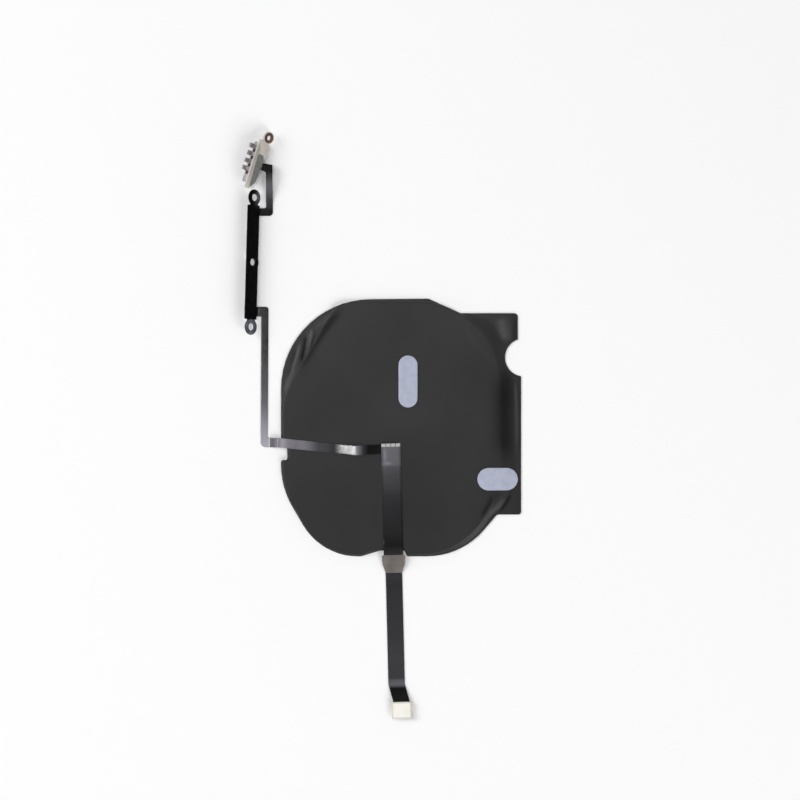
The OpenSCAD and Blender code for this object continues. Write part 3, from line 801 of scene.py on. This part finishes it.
def main_painted_sheen(places):
    """Painted sheen, lightest under its pads and at the bend by its connector; painted streaks and edge shade."""
    x, y = places[:, 0], places[:, 1]
    painted_streak = spot(places, -1.25, 19.6, 0.35, 1.6) + spot(places, -0.6, 17.9, 0.7, 0.3)
    border = smooth((np.abs(x) - 1.5) / 0.25)
    corner = spot(places, -1.95, 2.2, 0.2, 0.5)
    return MAIN_PAINTED_SHEEN(y) * (1 - 0.35 * border * (y > 0.5)) + 0.7 * painted_streak + 0.5 * corner


def make_main_flex():
    """The main circuit from its terminal pads to its connector, in one length across the fold."""
    root = face_loops("main_flex_root", TAIL)[0]
    tail = face_loops("main_flex_tail", TAIL)[0]
    (left, low), (right, _) = root.min(0), root.max(0)
    upper = opened(root, root[:, 1] < low + END_REACH)
    lower = opened(tail, tail[:, 1] > TAIL_START)
    loop = np.concatenate([upper, [(left, ROOT_END)], lower, [(right, ROOT_END)]])
    root_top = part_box("main_flex_root")[1].z / MM
    tail_top = profile("main_flex_tail", 1, TAIL)

    def surface(points):
        height = np.where(points[:, 1] > 0.0, root_top, tail_top(np.minimum(points[:, 1], 0)))
        return height + trace_relief(points, [loop]), height - FLEX_T

    flex = plate("main_flex", [loop], surface, 0.1, 0.03, space=TAIL)
    shade(flex, main_painted_sheen, TAIL)
    dress(flex, "flex_main", "main_flex_root", "main_flex_tail")
    bend_at(flex)


def make_tail_patch():
    """The reinforcing film over the main circuit where it leaves the module."""
    patch = face_loops("tail_reinforcement", TAIL)[0]
    patch_top = profile("tail_reinforcement", 1, TAIL)

    def surface(points):
        height = patch_top(points[:, 1])
        return height + 0.006 * ripple(points, 0.9, 1.5), height - PATCH_T

    film = plate("tail_patch", [patch], surface, 0.12, 0.02, space=TAIL)
    dress(film, "reinforcement", "tail_reinforcement")
    bend_at(film)


def bend_at(made):
    """Bakes the piece's place into its mesh."""
    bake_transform(made)


# Painted sheen: how light the branch is painted along X, from the arm to its free end, and the arm along Y
BRANCH_PAINTED_SHEEN = along([
    (-24.9, 0.9), (-23.9, 1.6), (-22.6, 3.2), (-21.6, 2.1), (-20, 1.6), (-18.4, 1.7), (-17.4, 1.3),
    (-16.4, 0.85), (-15.4, 0.45), (-13.4, 0.35), (-12.4, 0.2), (-11.4, 0.3), (-10.4, 0.3), (-9.4, 1.2),
    (-8.4, 2.6), (-7.6, 1.6), (-6.6, 0.3), (-5.6, 0.02), (-3, 0.02)
])
ARM_PAINTED_SHEEN = along([
    (-4, 3.9), (-2, 3.2), (0, 2.6), (2, 2.0), (4, 1.2), (6, 0.8), (8, 0.6), (12, 0.36), (15, 0.16),
    (17.6, 0.02), (19, 0.12), (21.5, 0.06), (24.2, 0.02)
])
ARM_EDGE_X = -25.2    # the arm lies to the left of this
HUMP_X = -15          # the branch's hump lies to the right of this
HUMP_SPREAD = 4       # evens the hump out, so that it has a single glint


def side_painted_sheen(places):
    """Painted sheen: the branch lightest near the fold, with a painted glint on its hump; the arm darker upwards.
    """
    x, y = places[:, 0], places[:, 1]
    return np.where(x < ARM_EDGE_X, ARM_PAINTED_SHEEN(y), BRANCH_PAINTED_SHEEN(x))


def make_side_flex():
    """The branch over the module and the arm beside it, in one length across the fold."""
    root = face_loops("branch_flex_root")[0]
    arm = face_loops("branch_flex_arm")[0]
    fold_x = JOINTS["side_fold"]["pos_m"][0] / MM
    branch_line = opened(root, root[:, 0] < fold_x + END_REACH)
    arm_line = opened(arm, arm[:, 0] > fold_x - END_REACH)
    loop = np.concatenate([branch_line, arm_line])
    branch_top = profile("branch_flex_root", 0)
    hump_top = profile("branch_flex_root", 0, spread=HUMP_SPREAD)
    arm_top = profile("branch_flex_arm", 0)

    def surface(points):
        x = points[:, 0]
        level = np.where(x > HUMP_X, hump_top(x), branch_top(np.maximum(x, fold_x + 0.1)))
        height = np.where(x > fold_x, level, arm_top(np.minimum(x, fold_x)))
        return height + trace_relief(points, [loop], height=0.0025, margin=0.2), height - FLEX_T

    flex = plate("side_flex", [loop], surface, 0.1, 0.03)
    shade(flex, side_painted_sheen)
    dress(flex, "flex_branch", "branch_flex_root", "branch_flex_arm")
    bend_at(flex)


def strip_fold_x(y):
    """Place along X, in millimetres, of the volume strip's fold at the place y."""
    place, axis = JOINTS["volume_fold"]["pos_m"], JOINTS["volume_fold"]["axis"]
    return (place[0] + (y * MM - place[1]) * axis[0] / axis[1]) / MM


# Painted sheen: how light the loop is painted along Y
LOOP_PAINTED_SHEEN = along([
    (42, 0.02), (43.6, 0.08), (45.6, 0.5), (47.4, 1.15), (48.8, 1.1), (50, 0.45), (51.2, 0.02), (53, 0.02)
])

# Plan places where the loop's outline is cut at the strip's fold
FOLD_LENGTH = 12      # how far up Y from the joint's place the fold can meet the loop
FOLD_NEAR = 0.12      # the loop's outline points this near the fold are on it
FOLD_PAST = 0.05      # how far the loop's mesh reaches past the fold


def make_loop_flex():
    """The narrow loop from the strip to the switch."""
    loop = face_loops("loop_flex")[0]
    beside_strip = loop[:, 1] < JOINTS["volume_fold"]["pos_m"][1] / MM + FOLD_LENGTH
    line = opened(loop, beside_strip & (loop[:, 0] < strip_fold_x(loop[:, 1]) + FOLD_NEAR))[1:-1]
    ends = [(strip_fold_x(y) - FOLD_PAST, y) for y in (line[-1][1], line[0][1])]
    loop = np.concatenate([line, ends])
    loop_top = profile("loop_flex", 1)

    def surface(points):
        height = loop_top(points[:, 1])
        return height + trace_relief(points, [loop], pitch=0.24, height=0.006, margin=0.2), height - FLEX_T

    flex = plate("switch_loop", [loop], surface, 0.1, 0.03)
    shade(flex, lambda places: LOOP_PAINTED_SHEEN(places[:, 1]))
    dress(flex, "flex_black", "loop_flex", finish="loop_black")
    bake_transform(flex)


# ---- Volume strip ----

MIDDLE_EYE = MOUNTS["middle_eye"]
STRIP = tilted_space(MIDDLE_EYE["pos_m"], MIDDLE_EYE["axis"], JOINTS["volume_fold"]["axis"])
EYE_LIGHTENING = 45                           # how much lighter the bracket is round its eyes than its black coat
LIP_HEIGHT, LIP_WIDTH = 0.06, 0.5   # of the lip round each eye
FIELD_HEIGHT = 0.05                 # of the raised field behind each key
FIELD_SHARE = (0.62, 0.95)          # width and length of that field, as shares of the key's base
EDGE_DROP, EDGE_WIDTH = 0.03, 0.35  # the bracket's edge is a little lower


def local_box(node, space):
    """Lowest and highest corner of a CAD node in millimetres, in a local space."""
    points, _ = node_mesh(node, space)
    return points.min(0), points.max(0)


def make_volume_bracket():
    """The pressed steel strip, with a lip round each eye and a raised field behind each key."""
    low, high = local_box("volume_bracket", STRIP)
    loops = face_loops("volume_bracket", STRIP, level=high[2])
    holes = loops[1:]
    keys = [local_box(node, STRIP) for node in ("volume_up_base", "volume_down_base")]

    def surface(points):
        lip = LIP_HEIGHT * smooth((LIP_WIDTH - distance(points, holes)) / 0.16)
        field = 0.0
        for a, b in keys:
            centre, half = (a + b)[:2] / 2, (b - a)[:2] / 2
            away = np.abs(points - centre) - half * FIELD_SHARE
            field = field + FIELD_HEIGHT * smooth(-away.max(1) / 0.14)
        edge = EDGE_DROP * smooth((EDGE_WIDTH - distance(points, loops[:1])) / 0.2)
        upper = high[2] + lip + field - edge + 0.006 * ripple(points, 0.7, 5.0)
        return upper, np.full(len(points), low[2])

    def tone(places):
        """The lower eye and the right half of the upper one are lighter."""
        lower, upper = sorted((hole.mean(0) for hole in holes), key=lambda c: c[1])[::2]
        ring = smooth((1.65 - np.hypot(*(places[:, :2] - lower).T)) / 0.2)
        patch = spot(places, upper[0] + 0.9, upper[1], 0.7, 1.2)
        return 1 + EYE_LIGHTENING * ring + EYE_LIGHTENING * patch

    bracket = plate("volume_strip_bracket", loops, surface, 0.12, 0.05, space=STRIP)
    shade(bracket, tone, STRIP)
    dress(bracket, "steel_black", "volume_bracket")
    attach(bracket, "volume_strip")


# ---- Pads, connector and the CAD parts that stay ----

def joined(name, parts):
    """One object from several that have the same finish."""
    vertices, faces = [], []
    for part in parts:
        start = len(vertices)
        vertices += [tuple(v.co / MM) for v in part.data.vertices]
        faces += [tuple(start + i for i in f.vertices) for f in part.data.polygons]
        bpy.data.objects.remove(part)
    return piece(name, vertices, faces)


def pad_loops(node, space):
    """Every outline of a node made of separate solids, each counterclockwise."""
    return [loop if area(loop) > 0 else loop[::-1] for loop in face_loops(node, space)]


PAD_DROP, PAD_DOME = 0.03, 0.04     # drop of a soldered pad's edge, and rise from there to its middle


def make_terminal_pads():
    """A row of soldered pads, each domed by surface tension."""
    low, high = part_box("terminal_pads")
    blobs = []
    for i, loop in enumerate(pad_loops("terminal_pads", TAIL)):
        def surface(points, loop=loop):
            dome = high.z / MM - PAD_DROP + PAD_DOME * smooth(distance(points, [loop]) / 0.3)
            return dome, np.full(len(points), low.z / MM)

        blobs.append(plate("pad_%d" % i, [loop], surface, 0.08, 0.02, space=TAIL))
    pads = joined("soldered_pads", blobs)
    dress(pads, "solder", "terminal_pads")
    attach(pads, "coil_module")


PLATE_DROP = 0.03                   # how much lower the connector plate's edge is than its middle
PLATE_EDGE_TONE = 0.72


def make_connector_plate():
    """The pale plate behind the connector, a little lower and darker along its edge than inside it."""
    low, high = local_box("connector_stiffener", TAIL)
    loop = face_loops("connector_stiffener", TAIL, level=high[2])[0]

    def surface(points):
        rise = PLATE_DROP * smooth((distance(points, [loop]) - 0.28) / 0.06)
        return high[2] - PLATE_DROP + rise, np.full(len(points), low[2])

    def tone(places):
        middle = smooth((distance(places[:, :2], [loop]) - 0.2) / 0.2)
        return PLATE_EDGE_TONE + (1 - PLATE_EDGE_TONE) * middle

    made = plate("connector_plate", [loop], surface, 0.12, 0.06, space=TAIL)
    shade(made, tone, TAIL)
    dress(made, "plate_pale", "connector_stiffener")
    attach(made, "tail")


def make_key_dome(key):
    """The key's metal dome, copied from its CAD node."""
    node = key + "_dome"
    points, faces = node_mesh(node)
    press = JOINTS[key + "_press"]
    axis = np.array(press["axis"])
    heights = points @ axis
    foot = points[heights.argmax()]
    made = piece(key + "_snap_dome", points, faces)
    dress(made, "steel_bright", node)
    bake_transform(made)


SLOT_OF = {part["node"]: part["material_slot"] for part in frame["record"]["subparts"]}
EDGE_ROUND = {"switch_cover": 0.05, "switch_bracket": 0.04, "connector_housing": 0.05, "switch_slider": 0.06}
SMALL_ROUND = 0.02    # of the edges of every other node


def finish_cad_nodes():
    """The CAD parts that stay visible get their finishes and small rounded edges."""
    for node, made in frame["nodes"].items():
        if made.hide_render:
            continue
        made.data.materials.clear()
        made.data.materials.append(MATERIALS[SLOT_OF[node]])
        for polygon in made.data.polygons:
            polygon.material_index = 0
        weld = made.modifiers.new("weld", "WELD")
        weld.merge_threshold = 1e-7
        bevel = made.modifiers.new("bevel", "BEVEL")
        bevel.width = EDGE_ROUND.get(node, SMALL_ROUND) * MM
        bevel.segments = 2
        bevel.limit_method = "ANGLE"
        bevel.angle_limit = SHARP
        bevel.harden_normals = True


add_camera()
add_studio_light()
add_floor()
make_cover_film()
make_foam_pad("centre_pad", "centre_foam_pad")
make_foam_pad("edge_pad", "edge_foam_pad")
make_main_flex()
make_tail_patch()
make_side_flex()
make_loop_flex()
make_volume_bracket()
make_terminal_pads()
make_connector_plate()
for name in ("volume_up", "volume_down"):
    make_key_dome(name)
finish_cad_nodes()
